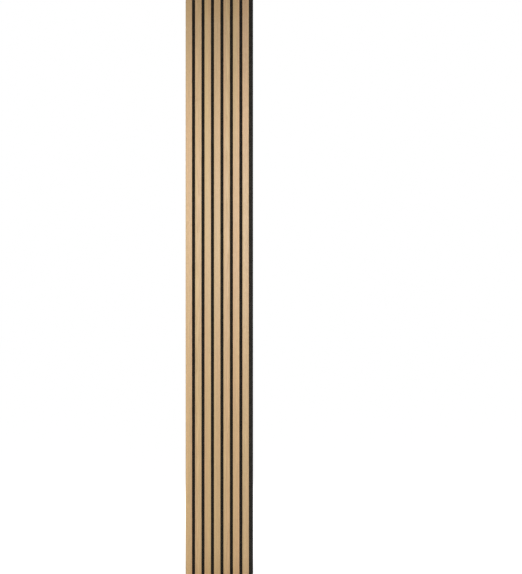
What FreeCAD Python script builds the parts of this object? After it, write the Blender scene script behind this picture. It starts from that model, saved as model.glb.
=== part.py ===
# Acoustic slat wall panel: veneered fibreboard slats, stapled side by side to a felt backing.
#
# All sizes are in millimetres. The panel stands upright against a wall: X runs across it, Z runs up it,
# and Y runs from the slats' faces to the wall. The origin is the centre of the felt's back, so the wall
# is the plane y = 0 and the slats face -Y. The first slat is flush with the felt's left edge, and the felt
# stands out past the last slat on the right, where the next panel butts on.
import FreeCAD
import Part
import os

# Panel
PANEL_LENGTH = 2440.0

# Slats: size over the veneer, and the open groove between two of them
SLAT_COUNT = 7
SLAT_WIDTH = 27.0
SLAT_DEPTH = 12.0
SLAT_GAP = 13.0
VENEER_THICKNESS = 0.5
CORE_EDGE_RADIUS = 0.7

# Felt backing
FELT_THICKNESS = 9.0
FELT_RIGHT_MARGIN = 18.0

# Staples, driven through the felt from behind into the slats' cores
STAPLE_ROWS = 7
STAPLE_END_DISTANCE = 60.0
STAPLE_CROWN_WIDTH = 10.0
STAPLE_WIRE_WIDTH = 1.2
STAPLE_WIRE_THICKNESS = 0.8
STAPLE_POINT_LENGTH = 1.4
STAPLE_SINK = 0.5
STAPLE_FACE_COVER = 4.5

# Worked out from the sizes above
SLAT_PITCH = SLAT_WIDTH + SLAT_GAP
SLATS_SPAN = SLAT_COUNT * SLAT_PITCH - SLAT_GAP
FELT_WIDTH = SLATS_SPAN + FELT_RIGHT_MARGIN
FELT_LEFT = -FELT_WIDTH / 2
FELT_FRONT = -FELT_THICKNESS
PANEL_BOTTOM = -PANEL_LENGTH / 2
STAPLE_HALF_CROWN = STAPLE_CROWN_WIDTH / 2
STAPLE_CROWN_BACK = -STAPLE_SINK
STAPLE_CROWN_FRONT = STAPLE_CROWN_BACK - STAPLE_WIRE_THICKNESS
STAPLE_POINT_Y = FELT_FRONT - SLAT_DEPTH + STAPLE_FACE_COVER

PARTS_FOLDER = "parts"


def point(x, y, z=PANEL_BOTTOM):
    return FreeCAD.Vector(x, y, z)


def line(start, end):
    return Part.LineSegment(start, end).toShape()


def bend(centre, radius, start_degrees, end_degrees):
    """A circular arc in the XY plane, anticlockwise from the start angle to the end angle."""
    axis = FreeCAD.Vector(0, 0, 1)
    return Part.makeCircle(radius, centre, axis, start_degrees, end_degrees)


def prism(edges, height):
    """The closed outline of these edges, in any order, raised along Z."""
    outline = Part.Wire(Part.__sortEdges__(edges))
    return Part.Face(outline).extrude(FreeCAD.Vector(0, 0, height))


def slat_lefts():
    """Where each slat's left side lies across the panel, the first one flush with the felt."""
    return [FELT_LEFT + number * SLAT_PITCH for number in range(SLAT_COUNT)]


def slat_bar(left, width, depth, edge_radius):
    """A bar as long as the panel, flat on the felt, with both front edges rounded over."""
    right = left + width
    front = FELT_FRONT - depth
    shoulder = front + edge_radius
    edges = [
        line(point(left, FELT_FRONT), point(left, shoulder)),
        bend(point(left + edge_radius, shoulder), edge_radius, 180, 270),
        line(point(left + edge_radius, front), point(right - edge_radius, front)),
        bend(point(right - edge_radius, shoulder), edge_radius, 270, 360),
        line(point(right, shoulder), point(right, FELT_FRONT)),
        line(point(right, FELT_FRONT), point(left, FELT_FRONT)),
    ]
    return prism(edges, PANEL_LENGTH)


def core_blank(left):
    """The slat's fibreboard, before the staples go in: the veneer's thickness inside the slat's size."""
    width = SLAT_WIDTH - 2 * VENEER_THICKNESS
    depth = SLAT_DEPTH - VENEER_THICKNESS
    return slat_bar(left + VENEER_THICKNESS, width, depth, CORE_EDGE_RADIUS)


def slat_veneer(left):
    """One sheet of veneer, wrapped round the core's face, its rounded edges and both sides."""
    slat = slat_bar(left, SLAT_WIDTH, SLAT_DEPTH, CORE_EDGE_RADIUS + VENEER_THICKNESS)
    return slat.cut(core_blank(left))


def felt_blank():
    """The felt backing as it is cut from the roll, before the staples go in."""
    corner = point(FELT_LEFT, FELT_FRONT)
    return Part.makeBox(FELT_WIDTH, FELT_THICKNESS, PANEL_LENGTH, corner)


def staple(centre_x, centre_z):
    """A flat wire bent to a crown and two legs, each ground to a slanting point, the crown sunk in the felt."""
    inner = STAPLE_HALF_CROWN - STAPLE_WIRE_THICKNESS
    bevel_start = STAPLE_POINT_Y + STAPLE_POINT_LENGTH

    def at(x, y):
        return point(centre_x + x, y, centre_z - STAPLE_WIRE_WIDTH / 2)

    edges = [
        line(at(-inner, STAPLE_CROWN_BACK), at(inner, STAPLE_CROWN_BACK)),
        line(at(-inner, STAPLE_CROWN_FRONT), at(inner, STAPLE_CROWN_FRONT)),
        bend(at(-inner, STAPLE_CROWN_FRONT), STAPLE_WIRE_THICKNESS, 90, 180),
        bend(at(inner, STAPLE_CROWN_FRONT), STAPLE_WIRE_THICKNESS, 0, 90),
    ]
    for side in (-1, 1):
        tip = at(side * STAPLE_HALF_CROWN, STAPLE_POINT_Y)
        bevel_top = at(side * inner, bevel_start)
        edges.append(line(at(side * STAPLE_HALF_CROWN, STAPLE_CROWN_FRONT), tip))
        edges.append(line(tip, bevel_top))
        edges.append(line(bevel_top, at(side * inner, STAPLE_CROWN_FRONT)))
    return prism(edges, STAPLE_WIRE_WIDTH)


def crown_slot(centre_x, centre_z):
    """The slot that a sunk crown presses into the felt's back, down to the crown's front."""
    corner = point(centre_x - STAPLE_HALF_CROWN, STAPLE_CROWN_FRONT, centre_z - STAPLE_WIRE_WIDTH / 2)
    return Part.makeBox(STAPLE_CROWN_WIDTH, -STAPLE_CROWN_FRONT, STAPLE_WIRE_WIDTH, corner)


def staple_heights():
    """The rows of staples up the panel, evenly spaced between the two end rows."""
    first = PANEL_BOTTOM + STAPLE_END_DISTANCE
    spacing = (PANEL_LENGTH - 2 * STAPLE_END_DISTANCE) / (STAPLE_ROWS - 1)
    return [first + row * spacing for row in range(STAPLE_ROWS)]


def save(node, shape):
    shape.exportStep(os.path.join(PARTS_FOLDER, node + ".step"))


def main():
    os.makedirs(PARTS_FOLDER, exist_ok=True)
    staples = []
    crown_slots = []
    for number, left in enumerate(slat_lefts(), start=1):
        middle = left + SLAT_WIDTH / 2
        slat_staples = [staple(middle, height) for height in staple_heights()]
        save("slat_core_" + str(number), core_blank(left).cut(slat_staples))
        save("slat_veneer_" + str(number), slat_veneer(left))
        staples.extend(slat_staples)
        crown_slots.extend(crown_slot(middle, height) for height in staple_heights())
    felt = felt_blank().cut(crown_slots).cut(staples)
    save("felt_backing", felt.removeSplitter())
    save("staples", Part.makeCompound(staples))


main()
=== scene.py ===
"""Looks of an acoustic slat wall panel: oak-veneered slats stapled to a sheet of dark pressed felt.

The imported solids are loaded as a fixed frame, in metres, with +Z up the panel and the slats facing -Y. The
felt, the veneers and the staples are modelled again with their finer forms, the fibreboard cores keep their
solids, and every surface gets a procedural finish.
"""

import logging
import math
from collections.abc import Sequence
from dataclasses import dataclass
from enum import Enum
from itertools import pairwise

import bmesh
import bpy
from mathutils import Matrix, Vector, noise

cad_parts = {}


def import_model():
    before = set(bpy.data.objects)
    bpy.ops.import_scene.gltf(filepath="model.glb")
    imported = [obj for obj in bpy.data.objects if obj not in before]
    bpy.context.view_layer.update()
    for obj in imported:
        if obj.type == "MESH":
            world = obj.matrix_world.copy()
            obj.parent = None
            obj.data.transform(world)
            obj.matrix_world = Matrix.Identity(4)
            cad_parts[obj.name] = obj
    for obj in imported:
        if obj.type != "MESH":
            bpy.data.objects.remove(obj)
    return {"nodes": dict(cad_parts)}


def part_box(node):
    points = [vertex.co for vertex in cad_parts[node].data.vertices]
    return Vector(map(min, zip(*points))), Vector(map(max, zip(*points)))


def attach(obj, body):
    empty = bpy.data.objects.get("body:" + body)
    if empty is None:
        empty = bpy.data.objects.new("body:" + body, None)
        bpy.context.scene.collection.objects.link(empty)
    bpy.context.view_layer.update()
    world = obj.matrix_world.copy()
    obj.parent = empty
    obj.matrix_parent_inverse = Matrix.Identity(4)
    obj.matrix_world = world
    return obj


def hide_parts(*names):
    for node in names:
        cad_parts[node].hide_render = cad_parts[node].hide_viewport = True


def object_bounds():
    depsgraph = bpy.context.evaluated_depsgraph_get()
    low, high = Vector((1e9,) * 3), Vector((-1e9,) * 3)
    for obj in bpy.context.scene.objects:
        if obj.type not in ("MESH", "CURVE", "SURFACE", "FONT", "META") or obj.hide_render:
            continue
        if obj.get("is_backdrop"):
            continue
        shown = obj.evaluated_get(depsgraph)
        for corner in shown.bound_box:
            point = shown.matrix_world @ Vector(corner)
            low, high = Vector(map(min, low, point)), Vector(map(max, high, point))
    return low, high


log = logging.getLogger("slat_panel")

Node = bpy.types.Node
NodeTree = bpy.types.NodeTree
Socket = bpy.types.NodeSocket
Material = bpy.types.Material
Shape = bmesh.types.BMesh
Edge = bmesh.types.BMEdge
Face = bmesh.types.BMFace
Colour = tuple[float, float, float, float]
Span = tuple[float, float]
PerMetre = tuple[float, float, float]
Setting = float | Sequence[float] | Socket

BODY = "root"
SLAT_COUNT = 7
MILLIMETRE = 0.001
WHITE: Colour = (1.0, 1.0, 1.0, 1.0)

# Places of the colour sockets on Blender's Mix node
MIX_FACTOR, MIX_FIRST, MIX_SECOND, MIX_RESULT = 0, 6, 7, 2

# Ends of a mask that rises, and of one that falls
RISING: Span = (0.0, 1.0)
FALLING: Span = (1.0, 0.0)

# Values between which most of a noise lies, and its middle
NOISE_SPAN: Span = (0.3, 0.7)
NOISE_MIDDLE = 0.5


def linked(name: str, data: bpy.types.ID) -> bpy.types.Object:
    """Makes an object at the origin of the scene.

    Args:
        name: The object's name.
        data: Its mesh, lamp or camera.

    Returns:
        The new object.
    """
    made = bpy.data.objects.new(name, data)
    bpy.context.scene.collection.objects.link(made)
    return made


def modelled(name: str, shape: Shape, material: Material) -> bpy.types.Object:
    """Makes an object from a shape.

    Args:
        name: The name of the object and of its mesh.
        shape: The shape, which is freed.
        material: The object's only material.

    Returns:
        The new object.
    """
    mesh = bpy.data.meshes.new(name)
    shape.to_mesh(mesh)
    shape.free()
    mesh.materials.append(material)
    return linked(name, mesh)


class ShaderGraph:
    """The nodes of one material, node group or world, with a short call for each kind that is used."""

    def __init__(self, tree: NodeTree) -> None:
        """Takes over an empty node tree."""
        self.tree = tree

    def feed(self, node: Node, inputs: dict[str | int, Setting]) -> None:
        """Fills a node's inputs.

        Args:
            node: A node of this graph.
            inputs: A plain value, or a socket to link, for each input by its name or number.
        """
        for key, value in inputs.items():
            if isinstance(value, Socket):
                self.tree.links.new(value, node.inputs[key])
            else:
                node.inputs[key].default_value = value

    def add(self, kind: str, inputs: dict[str | int, Setting] | None = None, **settings: object) -> Node:
        """Adds a node.

        Args:
            kind: Blender's name of the node's type, without the leading ShaderNode.
            inputs: What goes into its inputs, as for feed.
            settings: Properties of the node itself.

        Returns:
            The new node.
        """
        node = self.tree.nodes.new("ShaderNode" + kind)
        for name, value in settings.items():
            setattr(node, name, value)
        self.feed(node, inputs or {})
        return node

    def math(self, operation: str, first: Setting, second: Setting = 0.0) -> Socket:
        """Adds one step of arithmetic and returns its result."""
        return self.add("Math", {0: first, 1: second}, operation=operation).outputs[0]

    def times(self, first: Setting, second: Setting) -> Socket:
        """Returns the product of two values."""
        return self.math("MULTIPLY", first, second)

    def plus(self, first: Setting, second: Setting) -> Socket:
        """Returns the sum of two values."""
        return self.math("ADD", first, second)

    def scaled(self, vector: Setting, factors: Setting) -> Socket:
        """Multiplies a vector, axis by axis, and returns the product."""
        return self.add("VectorMath", {0: vector, 1: factors}, operation="MULTIPLY").outputs[0]

    def axes(self, vector: Setting) -> bpy.types.bpy_prop_collection:
        """Returns the three parts of a vector."""
        return self.add("SeparateXYZ", {0: vector}).outputs

    def turned(self, vector: Setting, degrees: float) -> Socket:
        """Turns a vector about the Y axis and returns it."""
        inputs = {"Vector": vector, "Angle": math.radians(degrees)}
        return self.add("VectorRotate", inputs, rotation_type="Y_AXIS").outputs[0]

    def noise(self, vector: Setting, detail: float = 2.0, distortion: float = 0.0) -> Socket:
        """Returns smooth noise with features a unit wide, finer octaves by detail, bent by distortion."""
        inputs = {"Vector": vector, "Scale": 1.0, "Detail": detail, "Distortion": distortion}
        return self.add("TexNoise", inputs).outputs[0]

    def remap(self, value: Setting, span: Span, target: Span = RISING) -> Socket:
        """Turns one range of a value into another, eased and clamped.

        Args:
            value: The value that is turned.
            span: Where its range starts and ends.
            target: Where the new range starts and ends.

        Returns:
            The new value.
        """
        inputs = {"Value": value, "From Min": span[0], "From Max": span[1]}
        inputs |= {"To Min": target[0], "To Max": target[1]}
        return self.add("MapRange", inputs, interpolation_type="SMOOTHSTEP").outputs[0]

    def mix(self, factor: Setting, first: Setting, second: Setting, blend: str = "MIX") -> Socket:
        """Lays a second colour over the first, by a factor from 0 to 1, and returns the blend."""
        inputs = {MIX_FACTOR: factor, MIX_FIRST: first, MIX_SECOND: second}
        return self.add("Mix", inputs, data_type="RGBA", blend_type=blend).outputs[MIX_RESULT]

    def tinted(self, colour: Setting, tint: Setting, factor: Setting = 1.0) -> Socket:
        """Multiplies a colour by another, or by a grey value, and returns it."""
        return self.mix(factor, colour, tint, "MULTIPLY")


class EffectGroup:
    """A shader effect that finishes share: a node group with named inputs and outputs."""

    NAME = ""
    INPUTS: dict[str, str] = {}
    OUTPUTS: dict[str, str] = {}

    @classmethod
    def place(cls, graph: ShaderGraph, values: dict[str, Setting]) -> bpy.types.bpy_prop_collection:
        """Adds this effect to a material with the material's own values, and returns its outputs."""
        tree = bpy.data.node_groups.get(cls.NAME) or cls._build()
        return graph.add("Group", values, node_tree=tree).outputs

    @classmethod
    def _build(cls) -> NodeTree:
        """Makes the sockets and lays out the effect.

        Returns:
            The group's node tree.
        """
        tree = bpy.data.node_groups.new(cls.NAME, "ShaderNodeTree")
        for way, sockets in (("INPUT", cls.INPUTS), ("OUTPUT", cls.OUTPUTS)):
            for name, kind in sockets.items():
                tree.interface.new_socket(name=name, in_out=way, socket_type="NodeSocket" + kind)
        given = tree.nodes.new("NodeGroupInput").outputs
        graph = ShaderGraph(tree)
        results = cls.lay_out(graph, {name: given[name] for name in cls.INPUTS})
        graph.feed(tree.nodes.new("NodeGroupOutput"), results)
        return tree

    @classmethod
    def lay_out(cls, graph: ShaderGraph, given: dict[str, Socket]) -> dict[str, Socket]:
        """Makes the effect's nodes from the group's inputs, and returns a socket for each output."""
        raise NotImplementedError


class OakGrain(EffectGroup):
    """Sliced oak: growth rings, pores in the spring wood, fibre streaks, ray flecks and slow drifts of tone.

    The vector is centred on a slat, with x across it, y back from its face and z along it. The sheet is
    unrolled from the slat's face round both sides first, so that the grain follows the fold.
    """

    NAME = "Oak grain"
    INPUTS = {
        "Vector": "Vector",
        "Seed": "Float",
        "Wood": "Color",
        "Pith Offset": "Float",
        "Pith Depth": "Float",
        "Taper": "Float",
        "Ring Width": "Float",
        "Ray Flecks": "Float",
    }
    OUTPUTS = {"Color": "Color", "Roughness": "Float", "Height": "Float"}

    # Features per metre across the sheet and along it
    SWAY: PerMetre = (22.0, 1.0, 1.0)
    RIPPLE: PerMetre = (120.0, 1.0, 4.0)
    PORES: PerMetre = (4200.0, 1.0, 70.0)
    FINE_PORES: PerMetre = (8000.0, 1.0, 180.0)
    SILK: PerMetre = (3000.0, 1.0, 28.0)
    STREAKS: PerMetre = (750.0, 1.0, 7.0)
    DRIFT: PerMetre = (120.0, 1.0, 0.5)
    HUE: PerMetre = (55.0, 1.0, 0.9)
    FLECKS: PerMetre = (420.0, 1.0, 95.0)

    # How far the rings sway and ripple sideways, in metres, and over which span of the noise
    SWAY_REACH = 0.008
    RIPPLE_REACH = 0.0006
    BEND_SPAN: Span = (0.2, 0.8)

    # Stretches of a ring over which the spring wood ends and the summer wood sets in
    SPRING_END: Span = (0.08, 0.45)
    SUMMER_START: Span = (0.35, 1.0)
    SUMMER_WOOD: Colour = (0.84, 0.77, 0.68, 1.0)
    SUMMER_STRENGTH = 0.65

    # Spans of the noise over which a pore or a fleck begins, and the pores' share among summer wood
    PORE_EDGE: Span = (0.49, 0.60)
    FINE_PORE_EDGE: Span = (0.58, 0.68)
    PORES_BY_SEASON: Span = (0.05, 1.0)
    FINE_PORE_STRENGTH = 0.45
    PORE: Colour = (0.48, 0.39, 0.31, 1.0)
    PORE_STRENGTH = 0.62
    FLECK_EDGE: Span = (0.60, 0.70)
    FLECK_SLANT = 7.0
    FLECK: Colour = (1.12, 1.13, 1.15, 1.0)

    # Darkest and palest factors on the wood's colour, and the tints between which its hue drifts
    STREAK_SHADE: Span = (0.91, 1.09)
    SILK_SHADE: Span = (0.94, 1.06)
    DRIFT_SHADE: Span = (0.93, 1.07)
    DRIFT_SPAN: Span = (0.25, 0.75)
    HUE_SPAN: Span = (0.35, 0.65)
    ROSY: Colour = (1.03, 0.985, 0.97, 1.0)
    STRAW: Colour = (0.985, 1.005, 0.94, 1.0)

    # The lacquer's roughness, what pores add to it and flecks take off, and the relief under it
    ROUGHNESS: Span = (0.33, 0.40)
    PORE_ROUGHNESS = 0.25
    FLECK_POLISH = 0.06
    STREAK_RELIEF = 0.25
    SUMMER_RELIEF = 0.15

    @classmethod
    def lay_out(cls, graph: ShaderGraph, given: dict[str, Socket]) -> dict[str, Socket]:
        """Makes the grain's nodes.

        Args:
            graph: The group's own nodes.
            given: The group's inputs by name.

        Returns:
            A socket for each of the group's outputs.
        """
        sheet = cls._unrolled(graph, given)
        ring = cls._ring_phase(graph, given, sheet)
        summer = graph.remap(ring, cls.SUMMER_START)
        pores = cls._pores(graph, sheet, graph.remap(ring, cls.SPRING_END, FALLING))
        streaks = graph.noise(graph.scaled(sheet, cls.STREAKS), detail=3.0)
        silk = graph.noise(graph.scaled(sheet, cls.SILK))
        fleck_noise = graph.noise(graph.scaled(graph.turned(sheet, cls.FLECK_SLANT), cls.FLECKS), detail=1.0)
        flecks = graph.times(graph.remap(fleck_noise, cls.FLECK_EDGE), given["Ray Flecks"])

        colour = cls._drifted(graph, given["Wood"], sheet)
        colour = graph.tinted(colour, cls.SUMMER_WOOD, graph.times(summer, cls.SUMMER_STRENGTH))
        shade = graph.remap(streaks, NOISE_SPAN, cls.STREAK_SHADE)
        shade = graph.times(shade, graph.remap(silk, NOISE_SPAN, cls.SILK_SHADE))
        colour = graph.tinted(colour, shade)
        colour = graph.tinted(colour, cls.FLECK, flecks)
        colour = graph.tinted(colour, cls.PORE, graph.times(pores, cls.PORE_STRENGTH))

        rough = graph.remap(streaks, NOISE_SPAN, cls.ROUGHNESS)
        rough = graph.plus(rough, graph.times(pores, cls.PORE_ROUGHNESS))
        rough = graph.math("SUBTRACT", rough, graph.times(flecks, cls.FLECK_POLISH))
        relief = graph.times(streaks, cls.STREAK_RELIEF)
        relief = graph.plus(relief, graph.times(summer, cls.SUMMER_RELIEF))
        height = graph.math("SUBTRACT", relief, pores)
        return {"Color": colour, "Roughness": rough, "Height": height}

    @classmethod
    def _unrolled(cls, graph: ShaderGraph, given: dict[str, Socket]) -> Socket:
        """Lays the folded sheet flat: its sides carry on past the face's edges.

        Args:
            graph: The group's own nodes.
            given: The group's inputs by name.

        Returns:
            The place on the sheet: across, seed and along.
        """
        axes = graph.axes(given["Vector"])
        outwards = graph.times(graph.math("SIGN", axes[0]), axes[1])
        across = graph.plus(axes[0], outwards)
        return graph.add("CombineXYZ", {0: across, 1: given["Seed"], 2: axes[2]}).outputs[0]

    @classmethod
    def _ring_phase(cls, graph: ShaderGraph, given: dict[str, Socket], sheet: Socket) -> Socket:
        """Works out how far through its growth ring a point lies.

        Args:
            graph: The group's own nodes.
            given: The group's inputs by name.
            sheet: The unrolled place on the sheet.

        Returns:
            A value that climbs from 0 to 1 through each ring.
        """
        axes = graph.axes(sheet)
        sway_noise = graph.noise(graph.scaled(sheet, cls.SWAY))
        sway = graph.remap(sway_noise, cls.BEND_SPAN, (-cls.SWAY_REACH, cls.SWAY_REACH))
        ripple_noise = graph.noise(graph.scaled(sheet, cls.RIPPLE))
        ripple = graph.remap(ripple_noise, cls.BEND_SPAN, (-cls.RIPPLE_REACH, cls.RIPPLE_REACH))
        across = graph.plus(graph.math("SUBTRACT", axes[0], given["Pith Offset"]), sway)
        depth = graph.plus(graph.times(axes[2], given["Taper"]), given["Pith Depth"])
        squares = graph.plus(graph.times(across, across), graph.times(depth, depth))
        radius = graph.plus(graph.math("SQRT", squares), ripple)
        return graph.math("FRACT", graph.math("DIVIDE", radius, given["Ring Width"]))

    @classmethod
    def _pores(cls, graph: ShaderGraph, sheet: Socket, spring: Socket) -> Socket:
        """Makes the pores: short dashes along the grain, most of the wide ones in the spring wood.

        Args:
            graph: The group's own nodes.
            sheet: The unrolled place on the sheet.
            spring: The mask of the spring wood.

        Returns:
            The pores' mask.
        """
        wide = graph.remap(graph.noise(graph.scaled(sheet, cls.PORES), detail=1.0), cls.PORE_EDGE)
        fine = graph.remap(graph.noise(graph.scaled(sheet, cls.FINE_PORES), detail=0.0), cls.FINE_PORE_EDGE)
        gathered = graph.times(wide, graph.remap(spring, RISING, cls.PORES_BY_SEASON))
        return graph.math("MAXIMUM", gathered, graph.times(fine, cls.FINE_PORE_STRENGTH))

    @classmethod
    def _drifted(cls, graph: ShaderGraph, wood: Socket, sheet: Socket) -> Socket:
        """Lets the wood's colour change slowly along the sheet, paler and darker, rosy and straw.

        Args:
            graph: The group's own nodes.
            wood: The sheet's colour.
            sheet: The unrolled place on the sheet.

        Returns:
            The colour with its drifts.
        """
        drift = graph.remap(graph.noise(graph.scaled(sheet, cls.DRIFT)), cls.DRIFT_SPAN, cls.DRIFT_SHADE)
        hue = graph.remap(graph.noise(graph.scaled(sheet, cls.HUE), detail=3.0), cls.HUE_SPAN)
        return graph.tinted(graph.tinted(wood, drift), graph.mix(hue, cls.ROSY, cls.STRAW))


class FibreMat(EffectGroup):
    """A mat of fine fibres that lie in the panel's plane in every direction, as in felt and fibreboard."""

    NAME = "Fibre mat"
    INPUTS = {"Vector": "Vector", "Fibre Width": "Float", "Fibre Length": "Float"}
    OUTPUTS = {"Fibres": "Float", "Clumps": "Float", "Height": "Float"}

    DIRECTIONS = (14.0, 58.0, 101.0, 149.0)
    CURL = 0.9
    FIBRE_EDGE: Span = (0.0, 0.045)
    FIBRE_RELIEF = 0.5
    CLUMP_WIDTHS = 14.0

    @classmethod
    def lay_out(cls, graph: ShaderGraph, given: dict[str, Socket]) -> dict[str, Socket]:
        """Makes the mat's nodes: a ridge of noise for each direction, laid over one another.

        Args:
            graph: The group's own nodes.
            given: The group's inputs by name.

        Returns:
            A socket for each of the group's outputs.
        """
        thin = graph.math("DIVIDE", 1.0, given["Fibre Width"])
        long = graph.math("DIVIDE", 1.0, given["Fibre Length"])
        stretch = graph.add("CombineXYZ", {0: thin, 1: thin, 2: long}).outputs[0]
        fibres: Setting = 0.0
        for degrees in cls.DIRECTIONS:
            place = graph.scaled(graph.turned(given["Vector"], degrees), stretch)
            waves = graph.noise(place, detail=1.0, distortion=cls.CURL)
            ridge = graph.math("ABSOLUTE", graph.math("SUBTRACT", waves, NOISE_MIDDLE))
            fibres = graph.math("MAXIMUM", fibres, graph.remap(ridge, cls.FIBRE_EDGE, FALLING))
        clump_scale = graph.math("DIVIDE", thin, cls.CLUMP_WIDTHS)
        clump_place = graph.add("VectorMath", {0: given["Vector"], "Scale": clump_scale}, operation="SCALE")
        clumps = graph.noise(clump_place.outputs[0], detail=3.0)
        height = graph.plus(graph.times(fibres, cls.FIBRE_RELIEF), clumps)
        return {"Fibres": fibres, "Clumps": clumps, "Height": height}


class EdgeWear(EffectGroup):
    """Rubbed edges: a mask that follows a piece's front edges and its two ends, broken up along them.

    The vector is centred across and along the piece, with y counted back from its face.
    """

    NAME = "Edge wear"
    INPUTS = {
        "Vector": "Vector",
        "Half Width": "Float",
        "Half Length": "Float",
        "Reach": "Float",
        "Patch Length": "Float",
    }
    OUTPUTS = {"Wear": "Float"}

    PATCH_STRETCH = 6.0
    PATCH_EDGE: Span = (0.42, 0.62)

    @classmethod
    def lay_out(cls, graph: ShaderGraph, given: dict[str, Socket]) -> dict[str, Socket]:
        """Makes the wear's nodes.

        Args:
            graph: The group's own nodes.
            given: The group's inputs by name.

        Returns:
            A socket for the group's output.
        """
        reach = given["Reach"]
        axes = graph.axes(given["Vector"])
        beside = cls._within(graph, graph.math("ABSOLUTE", axes[0]), given["Half Width"], reach)
        in_front = cls._within(graph, graph.times(axes[1], -1.0), 0.0, reach)
        at_end = cls._within(graph, graph.math("ABSOLUTE", axes[2]), given["Half Length"], reach)
        edge = graph.math("MAXIMUM", graph.math("MINIMUM", beside, in_front), at_end)
        along = graph.math("DIVIDE", 1.0, given["Patch Length"])
        across = graph.times(along, cls.PATCH_STRETCH)
        stretch = graph.add("CombineXYZ", {0: across, 1: across, 2: along}).outputs[0]
        patch_noise = graph.noise(graph.scaled(given["Vector"], stretch), detail=4.0)
        return {"Wear": graph.times(edge, graph.remap(patch_noise, cls.PATCH_EDGE))}

    @staticmethod
    def _within(graph: ShaderGraph, distance: Setting, limit: Setting, reach: Setting) -> Socket:
        """Marks the last stretch before a limit.

        Args:
            graph: The group's own nodes.
            distance: How far out a point lies.
            limit: Where the piece ends.
            reach: How long the stretch is.

        Returns:
            A value that rises from 0 to 1 over the stretch.
        """
        share = graph.math("DIVIDE", graph.math("SUBTRACT", limit, distance), reach)
        inputs = {0: share, 1: -1.0, 2: 1.0}
        return graph.add("Math", inputs, operation="MULTIPLY_ADD", use_clamp=True).outputs[0]


class VeneerCut(Enum):
    """How a sheet was sliced: how far aside and behind it the pith lies, and how strong the flecks are."""

    RIFT = (0.085, 0.045, 0.20)
    CROWN = (0.003, 0.030, 0.0)
    QUARTER = (0.150, 0.008, 0.75)

    def __init__(self, pith_offset: float, pith_depth: float, ray_flecks: float) -> None:
        """Names a cut's values.

        Args:
            pith_offset: How far across the sheet the pith lies, in metres.
            pith_depth: How far behind the sheet it lies, in metres.
            ray_flecks: How strongly the ray flecks show.
        """
        self.pith_offset = pith_offset
        self.pith_depth = pith_depth
        self.ray_flecks = ray_flecks


class OakTone(Enum):
    """The base colours that the sheets are sorted into."""

    HONEY = (0.588, 0.390, 0.196, 1.0)
    WHEAT = (0.567, 0.379, 0.190, 1.0)
    STRAW = (0.561, 0.374, 0.177, 1.0)
    AMBER = (0.551, 0.368, 0.180, 1.0)
    ROSE = (0.564, 0.381, 0.205, 1.0)


class Finish:
    """A surface finish, which becomes one material made of nodes."""

    def material(self) -> Material:
        """Returns this finish as a new material."""
        raise NotImplementedError

    @staticmethod
    def start(name: str) -> tuple[Material, ShaderGraph, Node]:
        """Starts a material with one Principled shader.

        Args:
            name: The material's name.

        Returns:
            The material, its nodes, and its shader.
        """
        material = bpy.data.materials.new(name)
        material.use_nodes = True
        material.node_tree.nodes.clear()
        graph = ShaderGraph(material.node_tree)
        shader = graph.add("BsdfPrincipled")
        graph.add("OutputMaterial", {"Surface": shader.outputs[0]})
        return material, graph, shader

    @staticmethod
    def place(graph: ShaderGraph) -> Socket:
        """Returns the piece's own coordinates."""
        return graph.add("TexCoord").outputs["Object"]

    @staticmethod
    def centred(graph: ShaderGraph, middle: Vector) -> Socket:
        """Returns the piece's own coordinates, counted from the given point."""
        return graph.add("Mapping", {"Vector": Finish.place(graph), "Location": -middle}).outputs[0]

    @staticmethod
    def bump(graph: ShaderGraph, height: Setting, depth: float, strength: float) -> Socket:
        """Returns the normal bent by a relief, whose depth is in metres for a change of 1 in height."""
        return graph.add("Bump", {"Height": height, "Distance": depth, "Strength": strength}).outputs[0]


@dataclass(frozen=True)
class OakVeneer(Finish):
    """One sheet of satin-lacquered oak, centred on its slat."""

    name: str
    middle: Vector
    size: Vector
    tone: OakTone
    cut: VeneerCut
    seed: float
    turned: bool
    ring_width: float = 0.0021
    taper: float = 0.011
    gloss: float = 0.65
    pore_depth: float = 0.00012
    relief_strength: float = 0.35
    worn: Colour = (1.13, 1.16, 1.22, 1.0)
    worn_reach: float = 0.0016
    worn_patch: float = 0.045
    worn_dulling: float = 0.14

    def material(self) -> Material:
        """Makes the oak's nodes.

        Returns:
            This finish as a new material.
        """
        material, graph, shader = self.start(self.name)
        side = -1.0 if self.turned else 1.0
        place = self.centred(graph, self.middle)
        grain = OakGrain.place(graph, {
            "Vector": place,
            "Seed": self.seed,
            "Wood": self.tone.value,
            "Pith Offset": side * self.cut.pith_offset,
            "Pith Depth": self.cut.pith_depth,
            "Taper": side * self.taper,
            "Ring Width": self.ring_width,
            "Ray Flecks": self.cut.ray_flecks,
        })
        wear = EdgeWear.place(graph, {
            "Vector": place,
            "Half Width": self.size.x / 2,
            "Half Length": self.size.z / 2,
            "Reach": self.worn_reach,
            "Patch Length": self.worn_patch,
        })["Wear"]
        graph.feed(shader, {
            "Base Color": graph.tinted(grain["Color"], self.worn, wear),
            "Roughness": graph.plus(grain["Roughness"], graph.times(wear, self.worn_dulling)),
            "Specular IOR Level": self.gloss,
            "Normal": self.bump(graph, grain["Height"], self.pore_depth, self.relief_strength),
        })
        return material


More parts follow.
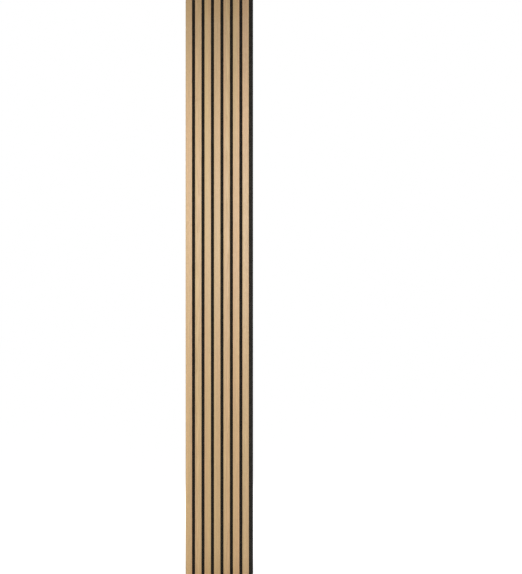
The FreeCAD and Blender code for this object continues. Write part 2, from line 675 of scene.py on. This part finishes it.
@dataclass(frozen=True)
class RawFibreboard(Finish):
    """Sawn fibreboard: a mat of ground wood, dense and dark near its faces and looser in the middle."""

    name: str
    face: float
    depth: float
    fibre_width: float = 0.00035
    fibre_length: float = 0.0016
    loose: Colour = (0.46, 0.325, 0.195, 1.0)
    dense: Colour = (0.30, 0.195, 0.105, 1.0)
    dense_shares: Span = (0.25, 0.5)
    clump_span: Span = (0.25, 0.75)
    clump_shade: Span = (0.90, 1.08)
    fibre: Colour = (1.38, 1.36, 1.30, 1.0)
    speck: Colour = (0.62, 0.56, 0.50, 1.0)
    speck_edge: Span = (0.56, 0.66)
    specks: PerMetre = (1100.0, 2600.0, 1100.0)
    saw_marks: PerMetre = (1100.0, 45.0, 300.0)
    roughness: Span = (0.92, 0.70)
    gloss: float = 0.25
    relief_depth: float = 0.0002
    relief_strength: float = 0.8

    def material(self) -> Material:
        """Makes the fibreboard's nodes.

        Returns:
            This finish as a new material.
        """
        material, graph, shader = self.start(self.name)
        place = self.centred(graph, Vector((0.0, self.face + self.depth / 2, 0.0)))
        mat = FibreMat.place(graph, {
            "Vector": place,
            "Fibre Width": self.fibre_width,
            "Fibre Length": self.fibre_length,
        })
        from_middle = graph.math("ABSOLUTE", graph.axes(place)[1])
        starts, full = (share * self.depth for share in self.dense_shares)
        density = graph.remap(from_middle, (starts, full))
        colour = graph.mix(density, self.loose, self.dense)
        colour = graph.tinted(colour, graph.remap(mat["Clumps"], self.clump_span, self.clump_shade))
        colour = graph.tinted(colour, self.fibre, mat["Fibres"])
        specks = graph.noise(graph.scaled(place, self.specks))
        marks = graph.noise(graph.scaled(place, self.saw_marks), detail=1.0)
        relief = graph.plus(mat["Height"], marks)
        graph.feed(shader, {
            "Base Color": graph.tinted(colour, self.speck, graph.remap(specks, self.speck_edge)),
            "Roughness": graph.remap(density, RISING, self.roughness),
            "Specular IOR Level": self.gloss,
            "Normal": self.bump(graph, relief, self.relief_depth, self.relief_strength),
        })
        return material


@dataclass(frozen=True)
class PressedFelt(Finish):
    """Dark needle-pressed polyester felt, mixed from black and a few grey fibres."""

    name: str
    size: Vector
    fibre_width: float = 0.0004
    fibre_length: float = 0.0055
    ground: Colour = (0.0064, 0.0055, 0.0044, 1.0)
    fibre: Colour = (0.0715, 0.065, 0.0558, 1.0)
    tufts: Span = (0.35, 0.68)
    mottle_per_metre: float = 55.0
    mottle_shade: Span = (0.88, 1.12)
    frayed: Colour = (1.5, 1.5, 1.5, 1.0)
    frayed_reach: float = 0.0018
    frayed_patch: float = 0.02
    rough_span: Span = (0.2, 0.8)
    roughness: Span = (0.98, 0.82)
    gloss: float = 0.12
    sheen: float = 0.05
    sheen_roughness: float = 0.6
    relief_depth: float = 0.0005
    relief_strength: float = 0.8

    def material(self) -> Material:
        """Makes the felt's nodes.

        Returns:
            This finish as a new material.
        """
        material, graph, shader = self.start(self.name)
        place = self.place(graph)
        mat = FibreMat.place(graph, {
            "Vector": place,
            "Fibre Width": self.fibre_width,
            "Fibre Length": self.fibre_length,
        })
        grey = graph.times(mat["Fibres"], graph.remap(mat["Clumps"], NOISE_SPAN, self.tufts))
        mottle = graph.noise(graph.scaled(place, (self.mottle_per_metre,) * 3), detail=4.0)
        shade = graph.remap(mottle, NOISE_SPAN, self.mottle_shade)
        colour = graph.tinted(graph.mix(grey, self.ground, self.fibre), shade)
        fray = EdgeWear.place(graph, {
            "Vector": self.centred(graph, Vector((0.0, -self.size.y, 0.0))),
            "Half Width": self.size.x / 2,
            "Half Length": self.size.z / 2,
            "Reach": self.frayed_reach,
            "Patch Length": self.frayed_patch,
        })["Wear"]
        graph.feed(shader, {
            "Base Color": graph.tinted(colour, self.frayed, fray),
            "Roughness": graph.remap(mat["Clumps"], self.rough_span, self.roughness),
            "Specular IOR Level": self.gloss,
            "Sheen Weight": self.sheen,
            "Sheen Roughness": self.sheen_roughness,
            "Normal": self.bump(graph, mat["Height"], self.relief_depth, self.relief_strength),
        })
        return material


@dataclass(frozen=True)
class ZincWire(Finish):
    """Bright zinc on drawn steel wire, with fine die lines and a cloudy bloom."""

    name: str
    bright: Colour = (0.62, 0.63, 0.64, 1.0)
    dull: Colour = (0.40, 0.41, 0.42, 1.0)
    bloom_per_metre: float = 900.0
    bloom_edge: Span = (0.35, 0.65)
    die_lines: PerMetre = (250.0, 2500.0, 9000.0)
    roughness: Span = (0.26, 0.48)
    relief_depth: float = 0.00003
    relief_strength: float = 0.4

    def material(self) -> Material:
        """Makes the zinc's nodes.

        Returns:
            This finish as a new material.
        """
        material, graph, shader = self.start(self.name)
        place = self.place(graph)
        clouds = graph.noise(graph.scaled(place, (self.bloom_per_metre,) * 3), detail=3.0)
        bloom = graph.remap(clouds, self.bloom_edge)
        lines = graph.noise(graph.scaled(place, self.die_lines), detail=1.0)
        graph.feed(shader, {
            "Base Color": graph.mix(bloom, self.bright, self.dull),
            "Roughness": graph.remap(bloom, RISING, self.roughness),
            "Metallic": 1.0,
            "Normal": self.bump(graph, lines, self.relief_depth, self.relief_strength),
        })
        return material


class MeshPiece:
    """A new piece of the object, whose place is in its mesh."""

    SHARP_ANGLE = math.radians(35)

    @staticmethod
    def rounded(shape: Shape, edges: list[Edge], radius: float, segments: int) -> None:
        """Rounds edges over.

        Args:
            shape: The mesh that the edges belong to.
            edges: The edges.
            radius: How far each edge is taken back.
            segments: How many faces the rounding has.
        """
        bmesh.ops.bevel(
            shape, geom=edges, offset=radius, offset_type="OFFSET", affect="EDGES",
            segments=segments, profile=0.5, material=-1,
        )

    @staticmethod
    def finished(name: str, shape: Shape, finish: Finish, slot: str, stands_for: str) -> bpy.types.Object:
        """Turns a shape into a piece that rides on the panel in place of a solid.

        Args:
            name: The piece's name.
            shape: Its mesh, which is freed.
            finish: Its finish.
            slot: The record's material slot for the finish; not used.
            stands_for: The node of the frame that the piece replaces.

        Returns:
            The new object.
        """
        for face in shape.faces:
            face.smooth = True
        for edge in shape.edges:
            edge.smooth = edge.is_manifold and edge.calc_face_angle() < MeshPiece.SHARP_ANGLE
        piece = modelled(name, shape, finish.material())
        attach(piece, BODY)
        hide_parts(stands_for)
        log.info("%s: %d faces, in place of %s", name, len(piece.data.polygons), stands_for)
        return piece


@dataclass
class SlatVeneer(MeshPiece):
    """One veneer: a sheet folded round a slat's face and sides, open towards the felt."""

    number: int
    finish: OakVeneer
    thickness: float = 0.5 * MILLIMETRE
    edge_radius: float = 1.2 * MILLIMETRE
    edge_segments: int = 8
    lengthwise_cuts: int = 23
    sawn_ease: float = 0.15 * MILLIMETRE
    ease_segments: int = 2

    # How far along Z a sawn face's normal points at least
    SAWN_FACING = 0.9

    def build(self) -> bpy.types.Object:
        """Folds the sheet, rounds its two edges and gives it its thickness.

        Returns:
            The new piece.
        """
        node = f"slat_veneer_{self.number}"
        low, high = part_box(node)
        shape = bmesh.new()
        outline = [(low.x, high.y), (low.x, low.y), (high.x, low.y), (high.x, high.y)]
        corners = [shape.verts.new((x, y, low.z)) for x, y in outline]
        edges = [shape.edges.new(pair) for pair in pairwise(corners)]
        raised = bmesh.ops.extrude_edge_only(shape, edges=edges)["geom"]
        tops = [item for item in raised if isinstance(item, bmesh.types.BMVert)]
        bmesh.ops.translate(shape, verts=tops, vec=(0.0, 0.0, high.z - low.z))
        bmesh.ops.recalc_face_normals(shape, faces=shape.faces)
        self._face_outwards(shape)
        folds = [edge for edge in shape.edges if len(edge.link_faces) == 2]
        self.rounded(shape, folds, self.edge_radius, self.edge_segments)
        lengths = [edge for edge in shape.edges if self._runs_along(edge)]
        bmesh.ops.subdivide_edges(shape, edges=lengths, cuts=self.lengthwise_cuts, use_grid_fill=True)
        outer = list(shape.faces)
        bmesh.ops.solidify(shape, geom=outer, thickness=self.thickness)
        self._ease_ends(shape, set(outer))
        return self.finished(f"oak_veneer_{self.number}", shape, self.finish, "oak_veneer", node)

    def _runs_along(self, edge: Edge) -> bool:
        """Tells whether an edge runs along the slat."""
        return abs(edge.verts[0].co.z - edge.verts[1].co.z) > self.thickness

    def _ease_ends(self, shape: Shape, outer: set[Face]) -> None:
        """Takes the sharpness off the sawn edges at both ends of the sheet's good side.

        Args:
            shape: The sheet with its thickness.
            outer: The faces of its good side.
        """
        shape.normal_update()
        sawn = {face for face in shape.faces if abs(face.normal.z) > self.SAWN_FACING}
        edges = [
            edge for edge in shape.edges
            if not outer.isdisjoint(edge.link_faces) and not sawn.isdisjoint(edge.link_faces)
        ]
        self.rounded(shape, edges, self.sawn_ease, self.ease_segments)

    @staticmethod
    def _face_outwards(shape: Shape) -> None:
        """Turns the sheet so that its good side, which faces -Y on the front, is outside.

        Args:
            shape: The folded sheet, before it has its thickness.
        """
        front = min(shape.faces, key=lambda face: face.calc_center_median().y)
        if front.normal.y > 0:
            bmesh.ops.reverse_faces(shape, faces=shape.faces)


@dataclass
class SlatCore:
    """One fibreboard core, which keeps its solid and shows at the slat's two sawn ends."""

    number: int

    @property
    def node(self) -> str:
        """The frame's node for this core."""
        return f"slat_core_{self.number}"

    @property
    def middle_x(self) -> float:
        """Where the slat's middle lies across the panel."""
        low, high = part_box(self.node)
        return (low.x + high.x) / 2

    def dress(self, solid: bpy.types.Object, material: Material) -> None:
        """Gives the core's solid its finish.

        Args:
            solid: The node's object.
            material: The finish of all cores.
        """
        solid.data.materials.clear()
        solid.data.materials.append(material)
        log.info("%s: solid kept, %d faces", self.node, len(solid.data.polygons))


@dataclass
class StapleGrid:
    """Where the staples lie: one column behind each slat, in rows spaced evenly up the panel."""

    columns: list[float]
    rows: int = 7
    wire_width: float = 1.2 * MILLIMETRE

    def heights(self) -> list[float]:
        """Spaces the rows between the lowest and the highest staple.

        Returns:
            The height of each row's middle.
        """
        low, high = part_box("staples")
        first = low.z + self.wire_width / 2
        last = high.z - self.wire_width / 2
        return [first + row * (last - first) / (self.rows - 1) for row in range(self.rows)]

    def places(self) -> list[tuple[float, float]]:
        """Returns the place across and up the panel of every staple's middle."""
        return [(x, z) for z in self.heights() for x in self.columns]


@dataclass
class Staples(MeshPiece):
    """All staples: flat wire with rounded edges, bent to a crown and two pointed legs."""

    grid: StapleGrid
    finish: ZincWire
    crown_width: float = 10.0 * MILLIMETRE
    wire_thickness: float = 0.8 * MILLIMETRE
    edge_radius: float = 0.22 * MILLIMETRE
    section_points: int = 12
    inner_radius: float = 0.12 * MILLIMETRE
    bend_steps: int = 5
    point_length: float = 1.4 * MILLIMETRE

    def build(self) -> bpy.types.Object:
        """Bends one staple for each place in the grid.

        Returns:
            The new piece with all staples.
        """
        low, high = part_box("staples")
        shape = bmesh.new()
        for x, z in self.grid.places():
            before = len(shape.verts)
            self._bend(shape, high.y, low.y)
            shape.verts.ensure_lookup_table()
            bmesh.ops.translate(shape, verts=shape.verts[before:], vec=(x, 0.0, z))
        bmesh.ops.recalc_face_normals(shape, faces=shape.faces)
        return self.finished("staple_wires", shape, self.finish, "staple_steel", "staples")

    def _bend(self, shape: Shape, crown_back: float, tip: float) -> None:
        """Draws the wire's section up one leg, round the crown and down the other leg.

        Args:
            shape: The mesh that the staple is added to.
            crown_back: Where the crown's back lies, in Y.
            tip: Where the legs end, in Y.
        """
        outer_radius = self.inner_radius + self.wire_thickness
        half_crown = self.crown_width / 2
        bend_x = half_crown - outer_radius
        bend_y = crown_back - outer_radius
        section = self._section(shape, half_crown, tip)
        self._slant(section, -half_crown + self.wire_thickness)
        section = self._extruded(shape, section, Vector((0.0, 1.0, 0.0)), bend_y)
        section = self._spun(shape, section, Vector((-bend_x, bend_y, 0.0)))
        section = self._extruded(shape, section, Vector((1.0, 0.0, 0.0)), bend_x)
        section = self._spun(shape, section, Vector((bend_x, bend_y, 0.0)))
        section = self._extruded(shape, section, Vector((0.0, 1.0, 0.0)), tip)
        self._slant(section, half_crown - self.wire_thickness)

    def _section(self, shape: Shape, half_crown: float, tip: float) -> Face:
        """Makes the wire's section at the tip of the first leg: a disc pulled apart to a rounded oblong.

        Args:
            shape: The staple's mesh.
            half_crown: Half the crown's width over the legs.
            tip: Where the legs end, in Y.

        Returns:
            The section's face.
        """
        turn = Matrix.Rotation(math.pi / self.section_points, 4, "Z")
        disc = bmesh.ops.create_circle(
            shape, cap_ends=True, segments=self.section_points, radius=self.edge_radius, matrix=turn
        )["verts"]
        middle = -half_crown + self.wire_thickness / 2
        reach_x = self.wire_thickness / 2 - self.edge_radius
        reach_z = self.grid.wire_width / 2 - self.edge_radius
        for vertex in disc:
            x, z = vertex.co.x, vertex.co.y
            vertex.co = (middle + x + math.copysign(reach_x, x), tip, z + math.copysign(reach_z, z))
        return disc[0].link_faces[0]

    def _slant(self, section: Face, inner: float) -> None:
        """Grinds a leg's end to a slanting point, sharp on the outer side.

        Args:
            section: The leg's end.
            inner: Where the leg's inner side lies, in X.
        """
        for vertex in section.verts:
            share = 1.0 - abs(vertex.co.x - inner) / self.wire_thickness
            vertex.co.y += self.point_length * share

    @staticmethod
    def _extruded(shape: Shape, section: Face, axis: Vector, end: float) -> Face:
        """Runs the wire on in a straight line.

        Args:
            shape: The staple's mesh.
            section: The wire's end.
            axis: The axis along which it runs.
            end: Where it stops on that axis.

        Returns:
            The wire's new end.
        """
        wire_end = [section, *section.edges]
        grown = bmesh.ops.extrude_face_region(shape, geom=wire_end, use_keep_orig=False)["geom"]
        face = next(item for item in grown if isinstance(item, Face))
        for vertex in face.verts:
            vertex.co += axis * (end - vertex.co.dot(axis))
        return face

    def _spun(self, shape: Shape, section: Face, centre: Vector) -> Face:
        """Bends the wire by a quarter turn.

        Args:
            shape: The staple's mesh.
            section: The wire's end.
            centre: The point about which it is bent.

        Returns:
            The wire's new end.
        """
        turned = bmesh.ops.spin(
            shape, geom=[section, *section.edges], cent=centre, axis=(0.0, 0.0, 1.0), angle=-math.pi / 2,
            steps=self.bend_steps, use_merge=False, use_duplicate=False,
        )["geom_last"]
        return next(item for item in turned if isinstance(item, Face))


@dataclass
class FeltBacking(MeshPiece):
    """The felt sheet: soft edges, an uneven back with a dimple at each staple, and swelling grooves."""

    grid: StapleGrid
    slat_middles: list[float]
    slat_width: float
    finish: PressedFelt
    coarse_across: float = 4.5 * MILLIMETRE
    coarse_along: float = 8.0 * MILLIMETRE
    fine: float = 2.0 * MILLIMETRE
    fine_reach: float = 9.0 * MILLIMETRE
    edge_radius: float = 0.8 * MILLIMETRE
    edge_segments: int = 3
    dimple_depth: float = 1.3 * MILLIMETRE
    dimple_along_crown: float = 6.2 * MILLIMETRE
    dimple_across_crown: float = 4.2 * MILLIMETRE
    swelling: float = 0.35 * MILLIMETRE
    swelling_rise: float = 4.0 * MILLIMETRE
    swelling_mean: float = 0.6
    swelling_change: float = 0.4
    unevenness: float = 0.22 * MILLIMETRE
    uneven_width: float = 28.0 * MILLIMETRE

    # Edges that fold more than this are rims
    RIM_ANGLE = math.radians(60)

    def build(self) -> bpy.types.Object:
        """Rolls out the sheet, thickens it, rounds its edges and shapes its faces.

        Returns:
            The new piece.
        """
        low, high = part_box("felt_backing")
        across = self._cuts(low.x, high.x, self.grid.columns, self.coarse_across)
        along = self._cuts(low.z, high.z, self.grid.heights(), self.coarse_along)
        shape = bmesh.new()
        bmesh.ops.create_grid(shape, x_segments=len(across) - 1, y_segments=len(along) - 1, size=1.0)
        for vertex in shape.verts:
            column = round((vertex.co.x + 1) / 2 * (len(across) - 1))
            row = round((vertex.co.y + 1) / 2 * (len(along) - 1))
            vertex.co = (across[column], high.y, along[row])
        front = bmesh.ops.extrude_face_region(shape, geom=list(shape.faces))["geom"]
        front_verts = [item for item in front if isinstance(item, bmesh.types.BMVert)]
        bmesh.ops.translate(shape, verts=front_verts, vec=(0.0, low.y - high.y, 0.0))
        bmesh.ops.recalc_face_normals(shape, faces=shape.faces)
        self.rounded(shape, self._rims(shape), self.edge_radius, self.edge_segments)
        places = self.grid.places()
        middle_y = (low.y + high.y) / 2
        for vertex in shape.verts:
            at_back = vertex.co.y > middle_y
            vertex.co += self._back(vertex.co, places) if at_back else self._front(vertex.co)
        return self.finished("felt_sheet", shape, self.finish, "felt", "felt_backing")

    def _rims(self, shape: Shape) -> list[Edge]:
        """Returns the edges round the front and the back, without those through the thickness."""
        steep = [edge for edge in shape.edges if edge.calc_face_angle() > self.RIM_ANGLE]
        return [edge for edge in steep if abs(edge.verts[0].co.y - edge.verts[1].co.y) < self.edge_radius]

    def _cuts(self, low: float, high: float, centres: list[float], coarse: float) -> list[float]:
        """Places the sheet's grid lines along one side.

        Args:
            low: Where the side starts.
            high: Where it ends.
            centres: Where staples lie along it, which get fine lines around them.
            coarse: The spacing elsewhere.

        Returns:
            The places of all lines, in order.
        """
        ends = [low]
        for centre in sorted(centres):
            ends += [centre - self.fine_reach, centre + self.fine_reach]
        ends.append(high)
        lines = [low]
        for number, (start, end) in enumerate(pairwise(ends)):
            # Every second stretch lies around a staple
            spacing = self.fine if number % 2 else coarse
            steps = max(1, round((end - start) / spacing))
            lines += [start + (end - start) * step / steps for step in range(1, steps + 1)]
        return lines

    def _back(self, place: Vector, staples: list[tuple[float, float]]) -> Vector:
        """Works out how far a point of the back is pressed in.

        Args:
            place: The point on the flat back.
            staples: Where the staples lie.

        Returns:
            The move from the flat back.
        """
        nearest = min(
            ((place.x - x) / self.dimple_along_crown) ** 4 + ((place.z - z) / self.dimple_across_crown) ** 2
            for x, z in staples
        )
        pressed = self.dimple_depth * math.exp(-nearest / 2)
        wave = noise.noise(place / self.uneven_width)
        return Vector((0.0, -pressed - self.unevenness * (1 + wave) / 2, 0.0))

    def _front(self, place: Vector) -> Vector:
        """Works out how far the front swells out: not at all under a slat, and most in mid groove.

        Args:
            place: The point on the flat front.

        Returns:
            The move from the flat front.
        """
        nearest = min(abs(place.x - middle) for middle in self.slat_middles)
        free = max(0.0, nearest - self.slat_width / 2)
        fullness = min(1.0, free / self.swelling_rise)
        wave = self.swelling_mean + self.swelling_change * noise.noise(place / self.uneven_width)
        return Vector((0.0, -self.swelling * fullness * wave, 0.0))


@dataclass
class SoftBox:
    """A studio lamp behind a cloth: a rectangle that shines towards a point."""

    name: str
    place: Vector
    aim: Vector
    width: float
    height: float
    power: float
    spread: float = math.pi
    glossy: bool = True

    def build(self) -> None:
        """Hangs the lamp, out of the camera's sight."""
        lamp = bpy.data.lights.new(self.name, "AREA")
        lamp.shape = "RECTANGLE"
        lamp.size = self.width
        lamp.size_y = self.height
        lamp.energy = self.power
        lamp.spread = self.spread
        hung = linked(self.name, lamp)
        hung.location = self.place
        hung.rotation_mode = "QUATERNION"
        hung.rotation_quaternion = (self.aim - self.place).to_track_quat("-Z", "Y")
        hung.visible_camera = False
        hung.visible_glossy = self.glossy


@dataclass
class Studio:
    """A white room without walls: a pale floor, even fill, three soft boxes in front and one behind."""

    floor_height: float
    fill: float = 0.49
    floor_colour: Colour = (0.92, 0.92, 0.92, 1.0)
    floor_roughness: float = 0.9
    floor_size: float = 80.0
    near_lift: float = 0.45
    shadow_reach: Span = (0.3, 2.5)
    strip_aside: float = 0.65

    def build(self) -> None:
        """Lays the floor and lights the panel."""
        bpy.context.scene.view_settings.view_transform = "Standard"
        self._light_room()
        self._lay_floor()
        for box in self._boxes():
            box.build()

    def _boxes(self) -> list[SoftBox]:
        """Sets out a box for the satin highlight, a strip on each side that leans down, and a box behind.

        Returns:
            The lamps.
        """
        highlight = SoftBox(
            "highlight_box", Vector((0.18, -4.0, 0.39)), Vector((0.0, 0.0, 0.27)),
            width=0.6, height=0.6, power=37.5,
        )
        strips = [
            SoftBox(
                name, Vector((aside, -self.strip_aside, -0.07)), Vector((0.0, 0.0, -0.40)),
                width=0.25, height=2.3, power=1.36, spread=math.radians(100), glossy=False,
            )
            for name, aside in (("left_strip_box", -self.strip_aside), ("right_strip_box", self.strip_aside))
        ]
        rear = SoftBox(
            "rear_box", Vector((-0.6, 3.5, 1.3)), Vector((0.0, 0.0, 0.0)),
            width=1.6, height=1.6, power=60.0,
        )
        return [highlight, *strips, rear]

    @staticmethod
    def _seen_directly(graph: ShaderGraph) -> Socket:
        """Marks the rays that show the room itself: from the camera, or by way of gloss or glass.

        Args:
            graph: The nodes of the world or of the floor's material.

        Returns:
            1 for such a ray, and 0 for one that carries light.
        """
        path = graph.add("LightPath").outputs
        mirrored = graph.math("MAXIMUM", path["Is Glossy Ray"], path["Is Transmission Ray"])
        return graph.math("MAXIMUM", path["Is Camera Ray"], mirrored)

    def _light_room(self) -> None:
        """Fills the room with even light, and shows it as white."""
        world = bpy.data.worlds.new("white_room")
        bpy.context.scene.world = world
        world.use_nodes = True
        world.node_tree.nodes.clear()
        graph = ShaderGraph(world.node_tree)
        fill = graph.add("Background", {"Color": WHITE, "Strength": self.fill})
        shown = graph.add("Background", {"Color": WHITE, "Strength": 1.0})
        inputs = {0: self._seen_directly(graph), 1: fill.outputs[0], 2: shown.outputs[0]}
        graph.add("OutputWorld", {"Surface": graph.add("MixShader", inputs).outputs[0]})

    def _lay_floor(self) -> None:
        """Lays a pale floor that takes the panel's shadow and fades into the white room."""
        shape = bmesh.new()
        bmesh.ops.create_grid(shape, x_segments=1, y_segments=1, size=self.floor_size / 2)
        bmesh.ops.translate(shape, verts=shape.verts, vec=(0.0, 0.0, self.floor_height))
        floor = modelled("floor", shape, self._floor_finish())
        floor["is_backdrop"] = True

    def _floor_finish(self) -> Material:
        """Makes a matt pale surface that shows as white further from the panel.

        Returns:
            The floor's material.
        """
        material, graph, shader = Finish.start("pale_floor")
        flat = graph.scaled(Finish.place(graph), (1.0, 1.0, 0.0))
        distance = graph.add("VectorMath", {0: flat}, operation="LENGTH").outputs["Value"]
        far_lift = 1.0 - self.fill * self.floor_colour[0]
        lift = graph.remap(distance, self.shadow_reach, (self.near_lift, far_lift))
        graph.feed(shader, {
            "Base Color": self.floor_colour,
            "Roughness": self.floor_roughness,
            "Specular IOR Level": 0.0,
            "Emission Color": WHITE,
            "Emission Strength": graph.times(self._seen_directly(graph), lift),
        })
        return material


@dataclass
class PhotoCamera:
    """A long lens, square on to the panel, framed as in the photograph."""

    slat_pitch: float
    slat_face: float
    frame_width_px: int = 522
    frame_height_px: int = 574
    pitch_px: float = 9.467
    panel_middle_px: float = 219.33
    distance: float = 9.0
    sensor_mm: float = 36.0
    clip_end: float = 200.0

    def build(self) -> None:
        """Sets up the camera so that a slat's pitch covers its pixels and the panel stands in its place."""
        metres_per_px = self.slat_pitch / self.pitch_px
        camera = bpy.data.cameras.new("photo_camera")
        camera.sensor_width = self.sensor_mm
        camera.lens = self.sensor_mm * self.distance / (self.frame_height_px * metres_per_px)
        camera.clip_end = self.clip_end
        stand = linked("photo_camera", camera)
        aside = (self.frame_width_px / 2 - self.panel_middle_px) * metres_per_px
        stand.location = (aside, self.slat_face - self.distance, 0.0)
        stand.rotation_euler = (math.pi / 2, 0.0, 0.0)
        bpy.context.scene.camera = stand


@dataclass
class SlatPanel:
    """The whole panel, piece by piece."""

    solids: dict[str, bpy.types.Object]

    FIRST_SEED = 0.43
    SEED_STEP = 3.17

    # Each slat's tone and cut from left to right, and whether its sheet was turned end for end
    SHEETS = (
        (OakTone.HONEY, VeneerCut.RIFT, False),
        (OakTone.WHEAT, VeneerCut.CROWN, True),
        (OakTone.STRAW, VeneerCut.RIFT, True),
        (OakTone.AMBER, VeneerCut.QUARTER, False),
        (OakTone.WHEAT, VeneerCut.CROWN, False),
        (OakTone.HONEY, VeneerCut.RIFT, False),
        (OakTone.ROSE, VeneerCut.QUARTER, True),
    )

    def build(self) -> None:
        """Makes every piece in order, from the wall outwards."""
        cores = [SlatCore(number) for number in range(1, SLAT_COUNT + 1)]
        middles = [core.middle_x for core in cores]
        grid = StapleGrid(middles)
        veneer_low, veneer_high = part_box("slat_veneer_1")
        veneer_size = veneer_high - veneer_low
        felt_low, felt_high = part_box("felt_backing")
        felt = PressedFelt("pressed_felt", felt_high - felt_low)
        FeltBacking(grid, middles, veneer_size.x, felt).build()
        Staples(grid, ZincWire("zinc_wire")).build()
        self._dress_cores(cores)
        for core, (tone, cut, turned) in zip(cores, self.SHEETS):
            middle = Vector((core.middle_x, veneer_low.y, 0.0))
            seed = self.FIRST_SEED + core.number * self.SEED_STEP
            sheet = OakVeneer(f"oak_sheet_{core.number}", middle, veneer_size, tone, cut, seed, turned)
            SlatVeneer(core.number, sheet).build()

    def _dress_cores(self, cores: list[SlatCore]) -> None:
        """Gives all cores one finish, which follows the board's depth.

        Args:
            cores: The slats' cores.
        """
        low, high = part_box(cores[0].node)
        board = RawFibreboard("raw_fibreboard", face=low.y, depth=high.y - low.y).material()
        for core in cores:
            core.dress(self.solids[core.node], board)


def main() -> None:
    """Loads the frame, builds the panel, its studio and its camera, and stands the floor at the solids'
    lowest point.
    """
    logging.basicConfig(level=logging.INFO, format="%(name)s: %(message)s")
    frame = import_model()
    solid_low, solid_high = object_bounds()
    SlatPanel(frame["nodes"]).build()
    first_low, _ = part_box("slat_veneer_1")
    second_low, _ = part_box("slat_veneer_2")
    Studio(floor_height=solid_low.z).build()
    PhotoCamera(slat_pitch=second_low.x - first_low.x, slat_face=first_low.y).build()


if __name__ == "__main__":
    main()
